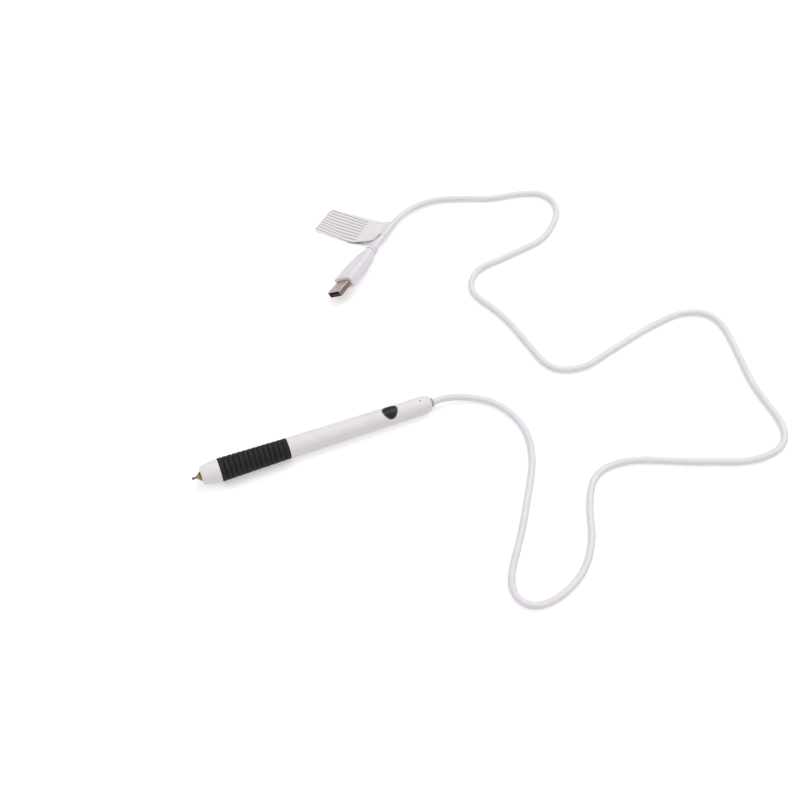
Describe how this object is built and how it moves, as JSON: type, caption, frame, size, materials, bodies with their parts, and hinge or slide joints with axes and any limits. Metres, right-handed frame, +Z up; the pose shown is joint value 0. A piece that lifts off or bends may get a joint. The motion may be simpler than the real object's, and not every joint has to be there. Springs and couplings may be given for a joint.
{
  "type": "hot foil pen",
  "caption": "Slim heated pen with a brass ball tip, ribbed black rubber grip and tapered white barrel, lying down with its loose white cord, flat cord flag and USB plug.",
  "frame": {"origin": "on the surface that it lies on, under the middle of the pen's box", "axes": "+X along the pen from its brass tip to the cord's exit, +Z up"},
  "size_m": [0.3732, 0.3463, 0.0162],
  "materials": {
    "white_plastic": "satin white moulded plastic",
    "cord_jacket": "soft white jacket with a faint lilac cast",
    "grip_rubber": "matt black rubber",
    "black_plastic": "matt black moulded plastic",
    "grey_bush": "matt grey soft plastic",
    "brass": "turned and polished brass",
    "copper": "plain copper",
    "contact_gold": "gold-plated",
    "shell_nickel": "nickel-plated steel, warm grey",
    "steel": "plain steel",
    "ceramic": "unglazed ceramic",
    "board_green": "green lacquered board",
    "chip_black": "black chip",
    "led_resin": "clear yellowish resin",
    "red_wire": "red insulation",
    "black_wire": "black insulation",
    "white_film": "thin white printed film, blank"
  },
  "bodies": {
    "pen": {"nib_holder": "brass", "heater_rod": "ceramic", "front_spacer": "ceramic", "heat_shield": "steel", "rear_spacer": "ceramic", "nose_cone": "white_plastic", "grip_sleeve": "grip_rubber", "grip_core": "white_plastic", "barrel": "white_plastic", "cord_bush": "grey_bush", "circuit_board": "board_green", "led": "led_resin", "resistor": "chip_black", "fuse": "chip_black", "lead_wire_supply": "red_wire", "lead_wire_return": "black_wire", "cord_tail": "cord_jacket", "cord_clamp": "steel", "core_wire_supply": "red_wire", "core_wire_return": "black_wire", "cord": "cord_jacket", "usb_shell": "shell_nickel", "usb_insert": "black_plastic", "plug_overmould": "cord_jacket", "usb_contact_1": "contact_gold", "usb_contact_2": "contact_gold", "usb_contact_3": "contact_gold", "usb_contact_4": "contact_gold", "cord_tag": "white_film"},
    "washer": {"nib_washer": "copper"},
    "tip": {"nib": "brass"}
  },
  "joints": [
    {"name": "tip_travel", "type": "slide", "parent": "pen", "child": "washer", "axis": [-0.9999, 0, 0.0119], "range_m": [0, 0.004]},
    {"name": "tip_turn", "type": "hinge", "parent": "washer", "child": "tip", "pos_m": [-0.07342, 0, 0.00783], "axis": [-0.9999, 0, 0.0119], "range_deg": [0, 2880]}
  ],
  "couplings": [
    {"joint": "tip_turn", "follows": "tip_travel", "rad_per_m": 12566}
  ]
}
